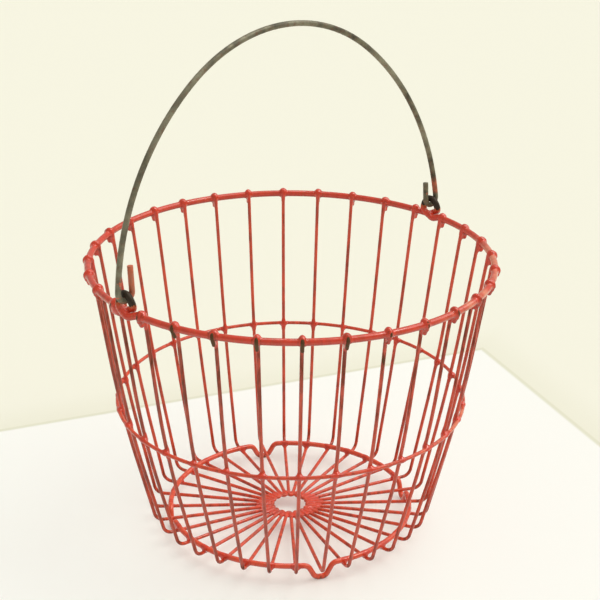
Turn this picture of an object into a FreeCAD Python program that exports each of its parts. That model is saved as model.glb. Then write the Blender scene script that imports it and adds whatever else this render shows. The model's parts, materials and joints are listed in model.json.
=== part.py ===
"""Welded wire picking basket with a swinging bail.

A heavy wire rim is bent into two eyes for the bail. Sixteen hairpin wires, each of two ribs and
two spokes, hook over the rim and meet in the middle of the floor. A thin hoop goes round the
ribs at mid height, and a ring dipped into four feet lies on the spokes.

Frame: +Z up, origin on the ground under the middle of the basket, millimetres. The two eyes, and
so the axis that the bail swings about, lie along X.
"""
import FreeCAD, Part

import math
import os

import Sketcher
from FreeCAD import Placement, Rotation, Vector

# alias, value, what it is (millimetres, degrees or a plain count)
SIZES = (
    ("RimRadius", 172.0, "middle of the rim wire, from the basket's axis"),
    ("RimHeight", 251.5, "middle of the rim wire, above the ground"),
    ("RimWire", 5.8, "diameter of the rim wire"),
    ("EyeReach", 1.0, "how far outside the rim line the plane of an eye stands"),
    ("EyeRadius", 7.3, "from the middle of an eye to the middle of its wire"),
    ("EyeBend", 5.8, "each bend of the wire round an eye and back into the rim"),
    ("EyeSpread", 6.1, "between the two wires where they cross under an eye"),
    ("EyeFoot", 6.0, "from the middle of an eye to where each crossing wire leaves the rim"),
    ("EyeDip", 2.2, "how far the wires dip below the rim line at the foot of an eye"),
    ("EyeHalfLength", 15.0, "from the middle of an eye to where the rim is round again"),
    ("HairpinCount", 16, "wires of two ribs each"),
    ("RibWire", 3.1, "diameter of the hairpin wire"),
    ("HookSet", 1.2, "how far a hook is welded into the rim"),
    ("HookWrap", 28.0, "degrees that a hook goes on past the outer side of the rim"),
    ("HookTail", 7.0, "straight end of a hook"),
    ("HoopRadius", 152.2, "middle of the hoop wire, from the basket's axis"),
    ("HoopHeight", 124.5, "middle of the hoop wire, above the ground"),
    ("HoopWire", 3.2, "diameter of the hoop wire"),
    ("BowLength", 55.0, "half of the rib that is bowed, either side of the hoop"),
    ("CornerReach", 16.5, "from the foot ring's line out to where rib and spoke would meet"),
    ("CornerTuck", 9.0, "how much less they reach on the side that is bent in the most"),
    ("TuckSide", -132.0, "degrees from +X to the side that is bent in the most"),
    ("CornerBend", 8.5, "bend between rib and spoke"),
    ("HubRadius", 17.2, "from the axis to the middle of a hairpin's inner bend"),
    ("HubBend", 1.75, "inner bend of a hairpin"),
    ("FootRingRadius", 108.5, "middle of the foot ring wire, from the basket's axis"),
    ("FootRingWire", 4.7, "diameter of the foot ring wire"),
    ("FootCount", 4, "feet round the ring"),
    ("FootDrop", 12.0, "from the ring's own level down to the bottom of a foot"),
    ("FootHalfTop", 11.0, "half of a foot's width where it leaves the ring"),
    ("FootHalfSole", 4.5, "half of a foot's width at the ground"),
    ("FootShoulderBend", 6.0, "bend where a foot leaves the ring"),
    ("FootSoleBend", 5.5, "bend at the ground"),
    ("FootHalfLength", 15.0, "from the middle of a foot to where the ring is round again"),
    ("WeldSet", 0.15, "how far two welded wires sink into each other"),
    ("BailWire", 4.8, "diameter of the bail wire"),
    ("BailHeight", 189.0, "from the swing axis up to the middle of the crown"),
    ("CrownRadius", 157.6, "crown of the bail"),
    ("CrownHalfAngle", 37.0, "degrees of crown either side of the middle"),
    ("BailHookBend", 6.6, "bend that goes through an eye"),
    ("StubRiseLeft", 27.0, "turned-up end at -X, above the swing axis"),
    ("StubRiseRight", 22.0, "turned-up end at +X, above the swing axis"),
    ("EyeClearance", 0.3, "between the bail and the top of an eye"),
    ("BailLean", 3.9, "degrees that the bail leans towards +Y at rest"),
)
NEAR = 1e-6
VOLUME_TOLERANCE = 1e-3
JOIN_TOLERANCE = 1e-4       # mm between two ends that meet
EYE_LOW_CORNER = 0.45       # height of an eye's lower side corners, in eye radii
EYE_FOOT_SPREAD = 1.2       # spread of the wires at an eye's foot, in half spreads
EYE_SIDE_SPREAD = 0.78      # spread of the wires half way up an eye, in half spreads
EYE_LEAD = 0.45             # straight next to an eye's outer bends, in bend radii
FIRST_FOOT_RIB = -2.5       # the first foot's place, in ribs from +X

doc = FreeCAD.newDocument("wire_basket")
sheet = doc.addObject("Spreadsheet::Sheet", "Sizes")
for row, (alias, value, meaning) in enumerate(SIZES, start=1):
    sheet.set(f"A{row}", meaning)
    sheet.set(f"B{row}", str(value))
    sheet.setAlias(f"B{row}", alias)
doc.recompute()


def size(alias):
    """The sheet's value for one alias."""
    return float(getattr(sheet, alias))


# ---------------------------------------------------------------- paths of bent wire
# A path is a list of runs. A straight run is (start, end), a bend is (start, middle, end).


def rounded(corners, bends):
    """Straight runs through the corners, with each inner corner eased by its own bend."""
    path = []
    start = corners[0]
    for before, corner, after, bend in zip(corners, corners[1:], corners[2:], bends):
        arriving = (corner - before).normalize()
        leaving = (after - corner).normalize()
        half_turn = arriving.getAngle(leaving) / 2
        setback = bend * math.tan(half_turn)
        depth = bend * (1 / math.cos(half_turn) - 1)
        bend_start = corner - arriving * setback
        bend_end = corner + leaving * setback
        middle = corner + (leaving - arriving).normalize() * depth
        if start.distanceToPoint(bend_start) > NEAR:
            path.append((start, bend_start))
        path.append((bend_start, middle, bend_end))
        start = bend_end
    if start.distanceToPoint(corners[-1]) > NEAR:
        path.append((start, corners[-1]))
    return path


def turned_round(path):
    """The same path walked from its far end."""
    return [tuple(reversed(run)) for run in reversed(path)]


def mirrored(path):
    """The same path on the other side of the XZ plane."""
    return [tuple(Vector(p.x, -p.y, p.z) for p in run) for run in path]


def spun(path, degrees):
    """The same path turned about the basket's axis."""
    turn = Rotation(Vector(0, 0, 1), degrees)
    return [tuple(turn.multVec(p) for p in run) for run in path]


def on_circle(radius, degrees, height):
    """A point of a level circle about the basket's axis."""
    angle = math.radians(degrees)
    return Vector(radius * math.cos(angle), radius * math.sin(angle), height)


def level_arc(radius, first, last, height):
    """One bend of a level circle, from the first angle to the last."""
    stops = (first, (first + last) / 2, last)
    return tuple(on_circle(radius, degrees, height) for degrees in stops)


def touch_angle(centre, radius, outside, side):
    """The angle, in a plane, at which a line from an outside point touches a circle."""
    across, up = outside[0] - centre[0], outside[1] - centre[1]
    return math.atan2(up, across) + side * math.acos(radius / math.hypot(across, up))


def bend_of(run):
    """The centre, axis, turn in degrees and radius of a bend."""
    circle = Part.Arc(*run).toShape()
    centre = circle.Curve.Center
    axis = (run[0] - centre).cross(run[1] - centre).normalize()
    return centre, axis, math.degrees(circle.Length / circle.Curve.Radius), circle.Curve.Radius


def wire_solid(path, diameter):
    """A round wire along an open path, as one solid with flat ends."""
    start = path[0]
    if len(start) == 2:
        heading = start[1] - start[0]
    else:
        centre, axis, _turn, _radius = bend_of(start)
        heading = axis.cross(start[0] - centre)
    ring = Part.Circle(start[0], heading, diameter / 2).toShape()
    skin = [Part.Face(Part.Wire([ring]))]
    length = 0.0
    for run in path:
        if len(run) == 2:
            travel = run[1] - run[0]
            skin.append(ring.extrude(travel))
            ring = ring.translated(travel)
            length += travel.Length
        else:
            centre, axis, turn, radius = bend_of(run)
            skin.append(ring.revolve(centre, axis, turn))
            ring = ring.rotated(centre, axis, turn)
            length += radius * math.radians(turn)
    skin.append(Part.Face(Part.Wire([ring])))
    shell = Part.makeShell(skin)
    shell.sewShape()
    solid = Part.makeSolid(shell)
    if solid.Volume < 0:
        solid.reverse()
    expected = math.pi * diameter ** 2 / 4 * length
    if abs(solid.Volume / expected - 1) > VOLUME_TOLERANCE:
        raise RuntimeError(f"wire volume {solid.Volume:.1f}, expected {expected:.1f}")
    return solid


def add_solid(name, solid, placement=None):
    """A document object of its own for one finished wire."""
    feature = doc.addObject("Part::Feature", name)
    feature.Shape = solid
    if placement is not None:
        feature.Placement = placement
    feature.Label = name
    return feature


# ---------------------------------------------------------------- rim with its two eyes


def eye_corners():
    """Corners of the wire through the eye at +X, walked anticlockwise seen from above."""
    plane = size("RimRadius") + size("EyeReach")
    radius, half_gap = size("EyeRadius"), size("EyeSpread") / 2
    height, foot = size("RimHeight"), size("EyeFoot")
    short = radius * math.tan(math.radians(22.5))
    low, high, top = EYE_LOW_CORNER * radius, radius + short, 2 * radius
    # The wires are furthest apart at the feet of the eye, and come together up its sides.
    at_foot, at_side = EYE_FOOT_SPREAD * half_gap, EYE_SIDE_SPREAD * half_gap

    def corner(along, out, up):
        return Vector(plane + out, along, height + up)

    return [
        corner(-foot, -at_foot, -size("EyeDip")),
        corner(radius, -at_side, low),
        corner(radius, 0, high),
        corner(short, 0, top),
        corner(-short, 0, top),
        corner(-radius, 0, high),
        corner(-radius, at_side, low),
        corner(foot, at_foot, -size("EyeDip")),
    ]


def half_rim():
    """Path of the eye at +X and the round half of the rim after it."""
    radius, height, bend = size("RimRadius"), size("RimHeight"), size("EyeBend")
    half_angle = math.degrees(math.asin(size("EyeHalfLength") / radius))
    lead = EYE_LEAD * bend
    start = on_circle(radius, -half_angle, height)
    finish = on_circle(radius, half_angle, height)
    along_start = on_circle(1, 90 - half_angle, 0)
    along_finish = on_circle(1, 90 + half_angle, 0)
    corners = [start, start + along_start * lead]
    corners += eye_corners()
    corners += [finish - along_finish * lead, finish]
    path = rounded(corners, [bend] * (len(corners) - 2))
    path.append(level_arc(radius, half_angle, 180 - half_angle, height))
    return path


def make_rim():
    """The rim: two equal halves, welded end to end."""
    path = half_rim()
    halves = [wire_solid(spun(path, turn), size("RimWire")) for turn in (0, 180)]
    return add_solid("rim_ring", halves[0].fuse(halves[1]).removeSplitter())


# ---------------------------------------------------------------- foot ring


def rib_step():
    """Degrees from one rib to the next."""
    return 360 / size("HairpinCount") / 2


def spoke_height():
    """Height of the middle of a spoke, which the foot ring is pressed on to."""
    ring_height = size("FootRingWire") / 2 + size("FootDrop")
    return ring_height - (size("FootRingWire") + size("RibWire")) / 2 + size("WeldSet")


def foot_angles():
    """Each foot straddles the spoke nearest to an even share of the ring."""
    step, count = rib_step(), int(size("FootCount"))
    first = FIRST_FOOT_RIB * step
    shares = [first + 360 * foot / count for foot in range(count)]
    return [step * (round(share / step - 0.5) + 0.5) for share in shares]


def foot_path(angle):
    """Path of one foot, centred on its angle."""
    radius, wire = size("FootRingRadius"), size("FootRingWire")
    level = wire / 2 + size("FootDrop")
    half_angle = math.degrees(math.asin(size("FootHalfLength") / radius))
    start = on_circle(radius, -half_angle, level)
    finish = on_circle(radius, half_angle, level)
    along_start = on_circle(1, 90 - half_angle, 0)
    along_finish = on_circle(1, 90 + half_angle, 0)
    lead = size("FootHalfLength") - size("FootHalfTop")
    sole = size("FootHalfSole")
    corners = [
        start,
        start + along_start * lead,
        Vector(radius, -sole, wire / 2),
        Vector(radius, sole, wire / 2),
        finish - along_finish * lead,
        finish,
    ]
    shoulder, sole_bend = size("FootShoulderBend"), size("FootSoleBend")
    return spun(rounded(corners, [shoulder, sole_bend, sole_bend, shoulder]), angle)


def make_foot_ring():
    """The foot ring, bent from one wire and closed by two welds."""
    radius = size("FootRingRadius")
    level = size("FootRingWire") / 2 + size("FootDrop")
    half_angle = math.degrees(math.asin(size("FootHalfLength") / radius))
    angles = foot_angles()
    following = angles[1:] + [angles[0] + 360]
    stretches = []
    for angle, after in zip(angles, following):
        level_run = level_arc(radius, angle + half_angle, after - half_angle, level)
        stretches.append(foot_path(angle) + [level_run])
    middle = len(stretches) // 2
    halves = []
    for part in (stretches[:middle], stretches[middle:]):
        halves.append(wire_solid([run for stretch in part for run in stretch], size("FootRingWire")))
    return add_solid("foot_ring", halves[0].fuse(halves[1]).removeSplitter())


# ---------------------------------------------------------------- hoop


def plane_of(body, role):
    """One of a body's own origin planes."""
    return next(feature for feature in body.Origin.OriginFeatures if feature.Role == role)


def circle_sketch(body, name, role, wire_alias, across, up):
    """A sketch of one circle whose diameter and place are bound to the sheet."""
    sketch = body.newObject("Sketcher::SketchObject", name)
    sketch.AttachmentSupport = [(plane_of(body, role), "")]
    sketch.MapMode = "FlatFace"
    sketch.addGeometry(Part.Circle(Vector(across[1], up[1], 0), Vector(0, 0, 1), size(wire_alias) / 2))
    for kind, amount, label, formula in (
        ("Diameter", size(wire_alias), "wire", f"Sizes.{wire_alias}"),
        ("DistanceX", across[1], "across", across[0]),
        ("DistanceY", up[1], "up", up[0]),
    ):
        if kind == "Diameter":
            constraint = Sketcher.Constraint(kind, 0, amount)
        else:
            constraint = Sketcher.Constraint(kind, -1, 1, 0, 3, amount)
        index = sketch.addConstraint(constraint)
        sketch.renameConstraint(index, label)
        sketch.setExpression(f"Constraints.{label}", formula)
    return sketch


def make_hoop():
    """The mid hoop: one circle turned about the basket's axis."""
    body = doc.addObject("PartDesign::Body", "mid_hoop")
    sketch = circle_sketch(
        body, "hoop_section", "XZ_Plane", "HoopWire",
        ("Sizes.HoopRadius", size("HoopRadius")), ("Sizes.HoopHeight", size("HoopHeight")),
    )
    ring = body.newObject("PartDesign::Revolution", "hoop_turn")
    ring.Profile = sketch
    ring.ReferenceAxis = (sketch, ["V_Axis"])
    ring.Angle = 360
    body.Label = "mid_hoop"
    return body


# ---------------------------------------------------------------- hairpins


def rib_at_hoop():
    """Distance of a rib's middle from the axis where the hoop is welded to its outer side."""
    return size("HoopRadius") - (size("HoopWire") + size("RibWire")) / 2 + size("WeldSet")


def bow_corner(hook_side, corner):
    """Corner of a rib's two runs that lets the bow between them touch the hoop."""
    crossing = Vector(rib_at_hoop(), size("HoopHeight"), 0)
    guess = crossing
    for _attempt in range(6):
        arriving = (guess - hook_side).normalize()
        leaving = (corner - guess).normalize()
        turn = arriving.getAngle(leaving)
        inward = (leaving - arriving).normalize()
        guess = crossing - inward * size("BowLength") * math.tan(turn / 4)
    return guess


def corner_reach(facing):
    """Distance from the axis at which rib and spoke would meet, for a leg facing this way."""
    turned = math.radians(facing - size("TuckSide"))
    tuck = size("CornerTuck") * max(0.0, math.cos(turned))
    return size("FootRingRadius") + size("CornerReach") - tuck


def leg_path(facing):
    """One leg, from the end of its hook down the rib and in along the spoke."""
    angle = rib_step() / 2
    hook_centre = (size("RimRadius"), size("RimHeight"))
    hook_bend = (size("RimWire") + size("RibWire")) / 2 - size("HookSet")
    spoke = spoke_height()
    reach = corner_reach(facing)

    corner = Vector(reach, spoke, 0)
    bow = bow_corner(Vector(hook_centre[0] - hook_bend, hook_centre[1], 0), corner)
    inner_touch = touch_angle(hook_centre, hook_bend, (bow.x, bow.y), -1)
    outer_touch = -math.radians(size("HookWrap"))

    def on_hook(turn):
        out, up = hook_bend * math.cos(turn), hook_bend * math.sin(turn)
        return Vector(hook_centre[0] + out, hook_centre[1] + up, 0)

    def standing(point):
        return on_circle(point.x, angle, point.y)

    tail_way = Vector(math.sin(outer_touch), -math.cos(outer_touch), 0)
    tail_end = on_hook(outer_touch) + tail_way * size("HookTail")
    over_rim = on_hook((inner_touch % (2 * math.pi) + outer_touch) / 2)

    corner_plan = on_circle(reach, angle, spoke)
    hub_centre, hub_bend = (size("HubRadius"), 0.0), size("HubBend")
    hub_touch = touch_angle(hub_centre, hub_bend, (corner_plan.x, corner_plan.y), 1)
    spoke_end = Vector(
        hub_centre[0] + hub_bend * math.cos(hub_touch),
        hub_bend * math.sin(hub_touch),
        spoke,
    )

    turn_at_bow = (bow - on_hook(inner_touch)).getAngle(corner - bow)
    bow_bend = size("BowLength") / math.tan(turn_at_bow / 2)
    path = [
        (standing(tail_end), standing(on_hook(outer_touch))),
        (standing(on_hook(outer_touch)), standing(over_rim), standing(on_hook(inner_touch))),
    ]
    path += rounded(
        [standing(on_hook(inner_touch)), standing(bow), standing(corner), spoke_end],
        [bow_bend, size("CornerBend")],
    )
    return path


def make_hairpins():
    """All hairpins, each bent from one wire: two legs and the bend between them at the hub."""
    half_step, count = rib_step() / 2, int(size("HairpinCount"))
    tip = Vector(size("HubRadius") - size("HubBend"), 0, spoke_height())
    hairpins = []
    for number in range(count):
        facing = 360 * number / count
        leg = leg_path(facing + half_step)
        other = turned_round(mirrored(leg_path(facing - half_step)))
        solid = wire_solid(leg + [(leg[-1][-1], tip, other[0][0])] + other, size("RibWire"))
        turn = Rotation(Vector(0, 0, 1), facing)
        hairpins.append(add_solid(f"rib_hairpin_{number + 1:02d}", solid, Placement(Vector(), turn)))
    return hairpins


# ---------------------------------------------------------------- bail


def swing_height():
    """Height of the axis that the bail swings about."""
    eye_top = size("RimHeight") + 2 * size("EyeRadius")
    return eye_top - (size("RimWire") + size("BailWire")) / 2 - size("EyeClearance")


def bail_path():
    """Path of the bail in its own plane, measured from the middle of its swing axis."""
    hook_x = size("RimRadius") + size("EyeReach")
    hook_bend, crown = size("BailHookBend"), size("CrownRadius")
    crown_z = size("BailHeight") - crown
    angle = math.radians(size("CrownHalfAngle"))
    drop = crown_z - hook_bend
    # The side bend touches both the crown and the hook bend from outside.
    extra = (hook_x ** 2 + drop ** 2 - (crown - hook_bend) ** 2) / 2
    extra /= crown - hook_bend - hook_x * math.sin(angle) + drop * math.cos(angle)
    side = crown + extra
    side_x, side_z = -extra * math.sin(angle), crown_z - extra * math.cos(angle)
    leg_angle = math.atan2(hook_x - side_x, hook_bend - side_z)

    def around(centre_x, centre_z, radius, turn):
        return Vector(centre_x + radius * math.sin(turn), centre_z + radius * math.cos(turn), 0)

    def half(sign, stub_rise):
        bends = [
            around(0, crown_z, crown, angle),
            around(side_x, side_z, side, (angle + leg_angle) / 2),
            around(hook_x, hook_bend, hook_bend, leg_angle),
            around(hook_x, hook_bend, hook_bend, (leg_angle + 1.5 * math.pi) / 2),
            Vector(hook_x - hook_bend, hook_bend, 0),
            Vector(hook_x - hook_bend, stub_rise, 0),
        ]
        return [Vector(sign * p.x, p.y, 0) for p in bends]

    right = half(1, size("StubRiseRight"))
    left = half(-1, size("StubRiseLeft"))
    top = Vector(0, size("BailHeight"), 0)
    return [
        (left[5], left[4]),
        (left[4], left[3], left[2]),
        (left[2], left[1], left[0]),
        (left[0], top, right[0]),
        (right[0], right[1], right[2]),
        (right[2], right[3], right[4]),
        (right[4], right[5]),
    ]


def make_bail():
    """The bail: a round wire piped along its path, leaning about the swing axis."""
    body = doc.addObject("PartDesign::Body", "bail")
    path = bail_path()
    line = body.newObject("Sketcher::SketchObject", "bail_path")
    line.AttachmentSupport = [(plane_of(body, "XZ_Plane"), "")]
    line.MapMode = "FlatFace"
    for run in path:
        line.addGeometry(Part.LineSegment(*run) if len(run) == 2 else Part.Arc(*run))
    # Which end of each piece of geometry its run starts and finishes at.
    for index in range(len(path) - 1):
        ends = []
        for number, point in ((index, path[index][-1]), (index + 1, path[index][-1])):
            first = line.getPoint(number, 1)
            ends.append((number, 1 if first.distanceToPoint(point) < JOIN_TOLERANCE else 2))
        line.addConstraint(Sketcher.Constraint("Tangent", *ends[0], *ends[1]))
    for label, constraint, formula in (
        ("crown", Sketcher.Constraint("Radius", 3, size("CrownRadius")), "Sizes.CrownRadius"),
        ("hook_left", Sketcher.Constraint("Radius", 1, size("BailHookBend")), "Sizes.BailHookBend"),
        ("hook_right", Sketcher.Constraint("Radius", 5, size("BailHookBend")), "Sizes.BailHookBend"),
    ):
        index = line.addConstraint(constraint)
        line.renameConstraint(index, label)
        line.setExpression(f"Constraints.{label}", formula)

    section = circle_sketch(
        body, "bail_section", "XY_Plane", "BailWire",
        ("-(Sizes.RimRadius + Sizes.EyeReach - Sizes.BailHookBend)", path[0][0].x), ("0", 0.0),
    )
    section.setExpression(".AttachmentOffset.Base.z", "Sizes.StubRiseLeft")
    doc.recompute()
    pipe = body.newObject("PartDesign::AdditivePipe", "bail_pipe")
    pipe.Profile = section
    pipe.Spine = (line, [f"Edge{number}" for number in range(1, len(path) + 1)])
    lean = Rotation(Vector(1, 0, 0), -size("BailLean"))
    body.Placement = Placement(Vector(0, 0, swing_height()), lean)
    body.Label = "bail"
    return body


# ---------------------------------------------------------------- build, check and write

pieces = [make_rim(), make_hoop(), make_foot_ring()] + make_hairpins() + [make_bail()]
doc.recompute()

for item in doc.Objects:
    if "Invalid" in item.State or "Error" in item.State:
        raise RuntimeError(f"{item.Label} did not compute: {item.State}")

os.makedirs("parts", exist_ok=True)
for piece in pieces:
    shape = piece.Shape
    if shape.isNull() or not shape.isValid() or len(shape.Solids) != 1:
        raise RuntimeError(f"{piece.Label} is not one valid solid")
for piece in pieces:
    piece.Shape.exportStep(f"parts/{piece.Label}.step")
    print(f"{piece.Label}: {piece.Shape.Volume:.1f} mm3")
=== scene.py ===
"""Looks of a welded wire picking basket: dipped red wires, pooled coating, worn hooks, bare bail."""
import json
import logging
import math
import random
from collections.abc import Iterable
from dataclasses import dataclass, field
from enum import Enum

import bmesh
import bpy
from mathutils import Matrix, Quaternion, Vector, noise


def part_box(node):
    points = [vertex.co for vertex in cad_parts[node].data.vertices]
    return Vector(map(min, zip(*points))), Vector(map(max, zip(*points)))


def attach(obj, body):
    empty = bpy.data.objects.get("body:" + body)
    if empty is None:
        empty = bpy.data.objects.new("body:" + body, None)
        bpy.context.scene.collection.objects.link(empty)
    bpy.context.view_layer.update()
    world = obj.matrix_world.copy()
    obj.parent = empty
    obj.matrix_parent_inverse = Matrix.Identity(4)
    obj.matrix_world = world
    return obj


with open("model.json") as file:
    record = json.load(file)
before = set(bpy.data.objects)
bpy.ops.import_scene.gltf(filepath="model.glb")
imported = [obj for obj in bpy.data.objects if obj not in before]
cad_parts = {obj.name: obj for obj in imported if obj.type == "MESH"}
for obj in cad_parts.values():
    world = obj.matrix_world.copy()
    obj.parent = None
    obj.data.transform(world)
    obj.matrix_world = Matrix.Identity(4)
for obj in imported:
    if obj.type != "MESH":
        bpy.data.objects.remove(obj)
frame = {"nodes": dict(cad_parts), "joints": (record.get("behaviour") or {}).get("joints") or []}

log = logging.getLogger("picking_basket")
logging.basicConfig(level=logging.INFO, format="%(message)s")

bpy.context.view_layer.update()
Socket = bpy.types.NodeSocket
Colour = tuple[float, float, float]
Profile = tuple[tuple[float, float], ...]

# Directions round the basket, in degrees from +X towards +Y.
HANDLED_SIDE = 218.0    # hands have worn the hooks bare here
# The ribs on the next side get painted shade and grime.
SHADED_GRIMY_SIDE = 172.0      # the ribs are darkest here
USED_SIDE = -132.0      # the side that gets the most wear
FADED_SHEEN_ARC = -58.0      # the rim and the hoop are painted paler here: faded coating under a painted highlight
HANDLED_SPREAD = 0.88   # cosine of how far round the bare hooks reach

# Sleeves of coating along a wire: metres from the crossing, and metres that the sleeve stands
# over its wire there. A sleeve ends just under the wire's own surface.
HOOK_ALONG_RIM: Profile = ((0.0, 0.0008), (0.0012, 0.0008), (0.0040, 0.0001), (0.0055, -0.0003))
HOOK_DOWN_RIB: Profile = ((0.0, 0.00030), (0.0085, 0.0001), (0.0125, -0.00025))
WELD_ALONG_HOOP: Profile = ((0.0, 0.0007), (0.0034, 0.0002), (0.0065, -0.0003))
WELD_ALONG_RIB: Profile = ((0.0, 0.0007), (0.0038, 0.0002), (0.0070, -0.0003))
WELD_ALONG_FOOT_RING: Profile = ((0.0, 0.0003), (0.0035, 0.0001), (0.0065, -0.0004))
WELD_IN_ALONG_SPOKE: Profile = ((0.0, 0.0004), (0.0045, 0.0001), (0.0080, -0.0003))
WELD_OUT_ALONG_SPOKE: Profile = ((0.0, 0.0003), (0.0016, -0.0002))
WELD_OVERLAP = 0.00015  # how far two welded wires sink into each other

# Along the crossing under an eye: share of its length, and how far the skin stands over the wire.
EYE_CROSSING: Profile = ((0.08, -0.0003), (0.36, 0.00025), (0.62, 0.00025), (0.80, -0.0003))

FINE_GRAIN, COARSE_GRAIN, BULB_GRAIN = 0.00042, 0.00050, 0.0006     # how finely the skins are melted
RIB_LEAN = Vector((-0.119, 0, -1.0))                    # down a rib from its hook
HOOK_TAIL = Vector((-0.469, 0, -0.883)) * 0.0070        # from a hook's last bend to the end of its tail
FOOT_HALF_WIDTH = 4.0   # degrees of the foot ring on each side of a foot that no rib touches
HUB_LONG_WAY = Vector((0.739, -0.674, 0))   # the hub's coating has run furthest this way


class Slot(Enum):
    """The record's material slots."""

    COATED = "coated_wire"
    BARE = "bare_wire"


class Body(Enum):
    """The bodies that pieces ride on."""

    BASKET = "basket"
    BAIL = "bail"


# ---------------- node trees


@dataclass
class Bench:
    """Adds and joins the nodes of one shader tree or node group."""

    tree: bpy.types.NodeTree
    placed: int = 0

    def add(self, kind: str, **settings: object) -> bpy.types.Node:
        """Adds a node.

        Args:
            kind: Blender's name for the node type.
            settings: properties to set on it.

        Returns:
            The new node.
        """
        node = self.tree.nodes.new(kind)
        for name, value in settings.items():
            setattr(node, name, value)
        node.location = (200 * (self.placed % 12), -260 * (self.placed // 12))
        self.placed += 1
        return node

    def feed(self, socket: Socket, value: object) -> None:
        """Links a socket's source, or sets its plain value.

        Args:
            socket: the input.
            value: a socket, a plain value, or None to leave it alone.
        """
        if isinstance(value, bpy.types.NodeSocket):
            self.tree.links.new(value, socket)
        elif value is not None:
            socket.default_value = value

    def maths(self, operation: str, first: object, second: object = None,
              clamp: bool = False) -> Socket:
        """One sum.

        Args:
            operation: the Math node's operation.
            first: a socket or a number.
            second: a socket or a number, where the operation takes two.
            clamp: whether the result stays within 0 and 1.

        Returns:
            The result's socket.
        """
        node = self.add("ShaderNodeMath", operation=operation, use_clamp=clamp)
        self.feed(node.inputs[0], first)
        self.feed(node.inputs[1], second)
        return node.outputs[0]

    def step(self, value: Socket, low: float, high: float) -> Socket:
        """A soft step from 0 at low to 1 at high, or falling where low is the larger.

        Args:
            value: the value that is tested.
            low: where the step is 0.
            high: where it is 1.

        Returns:
            The step's socket.
        """
        node = self.add("ShaderNodeMapRange", interpolation_type="SMOOTHSTEP")
        rising = low < high
        self.feed(node.inputs["Value"], value)
        self.feed(node.inputs["From Min"], low if rising else high)
        self.feed(node.inputs["From Max"], high if rising else low)
        self.feed(node.inputs["To Min"], 0.0 if rising else 1.0)
        self.feed(node.inputs["To Max"], 1.0 if rising else 0.0)
        return node.outputs["Result"]

    def stretch(self, value: Socket, low: float, high: float) -> Socket:
        """Carries a value from the range 0 to 1 over to another.

        Args:
            value: the value.
            low: what 0 becomes.
            high: what 1 becomes.

        Returns:
            The result's socket.
        """
        node = self.add("ShaderNodeMapRange", clamp=True)
        self.feed(node.inputs["Value"], value)
        self.feed(node.inputs["To Min"], low)
        self.feed(node.inputs["To Max"], high)
        return node.outputs["Result"]

    def blend(self, factor: object, first: object, second: object, mode: str = "MIX") -> Socket:
        """Mixes two colours.

        Args:
            factor: how much of the second shows.
            first: a colour socket or a plain colour.
            second: a colour socket or a plain colour.
            mode: the Mix node's blend mode.

        Returns:
            The mixed colour's socket.
        """
        node = self.add("ShaderNodeMix", data_type="RGBA", blend_type=mode)
        self.feed(node.inputs[0], factor)
        self.feed(node.inputs[6], (*first, 1) if isinstance(first, tuple) else first)
        self.feed(node.inputs[7], (*second, 1) if isinstance(second, tuple) else second)
        return node.outputs[2]

    def cloud(self, vector: Socket, scale: object, detail: float = 3.0, rough: float = 0.55) -> Socket:
        """Noise over the surface, about 0 to 1.

        Args:
            vector: the place.
            scale: how fine the noise is.
            detail: its layers.
            rough: how much its fine layers count.

        Returns:
            The noise's socket.
        """
        node = self.add("ShaderNodeTexNoise")
        self.feed(node.inputs["Vector"], vector)
        self.feed(node.inputs["Scale"], scale)
        self.feed(node.inputs["Detail"], detail)
        self.feed(node.inputs["Roughness"], rough)
        return node.outputs["Fac"]

    def place(self) -> Socket:
        """The point's own place in the basket's frame, in metres."""
        return self.add("ShaderNodeTexCoord").outputs["Object"]

    def toward(self, across: Socket, along: Socket, flat: Socket, degrees: float) -> Socket:
        """How nearly a point stands in one direction from the middle, as a cosine.

        Args:
            across: the point's x.
            along: its y.
            flat: its distance from the upright axis.
            degrees: the direction, from +X towards +Y.

        Returns:
            The cosine's socket.
        """
        way = math.radians(degrees)
        reach = self.maths("ADD", self.maths("MULTIPLY", across, math.cos(way)),
                           self.maths("MULTIPLY", along, math.sin(way)))
        return self.maths("DIVIDE", reach, self.maths("MAXIMUM", flat, 0.001))

    def bump(self, height: Socket, strength: float, depth: float) -> Socket:
        """Makes a surface rise and sink.

        Args:
            height: the height's socket.
            strength: how much of it counts.
            depth: what a height of 1 stands for, in metres.

        Returns:
            The bumped normal's socket.
        """
        node = self.add("ShaderNodeBump")
        node.inputs["Strength"].default_value = strength
        node.inputs["Distance"].default_value = depth
        self.feed(node.inputs["Height"], height)
        return node.outputs["Normal"]

    def group(self, tree: bpy.types.NodeTree, **values: object) -> bpy.types.Node:
        """Places a node group with its own values.

        Args:
            tree: the group.
            values: input name, with underscores for spaces, to a socket or a number.

        Returns:
            The group's node.
        """
        node = self.add("ShaderNodeGroup", node_tree=tree)
        for name, value in values.items():
            self.feed(node.inputs[name.replace("_", " ")], value)
        return node


def new_group(name: str, inputs: dict[str, float], outputs: Iterable[str]) -> tuple[Bench, Socket, dict]:
    """Starts a shader node group that takes a vector and some numbers.

    Args:
        name: the group's name.
        inputs: each number's name and default.
        outputs: the names of the values that it puts out.

    Returns:
        The bench to build it on, the group's input sockets and its output sockets, by name.
    """
    tree = bpy.data.node_groups.new(name, "ShaderNodeTree")
    tree.interface.new_socket("Place", in_out="INPUT", socket_type="NodeSocketVector")
    for label, default in inputs.items():
        made = tree.interface.new_socket(label, in_out="INPUT", socket_type="NodeSocketFloat")
        made.default_value = default
    for label in outputs:
        tree.interface.new_socket(label, in_out="OUTPUT", socket_type="NodeSocketFloat")
    bench = Bench(tree)
    taken = bench.add("NodeGroupInput").outputs
    given = bench.add("NodeGroupOutput").inputs
    return bench, taken, given


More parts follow.
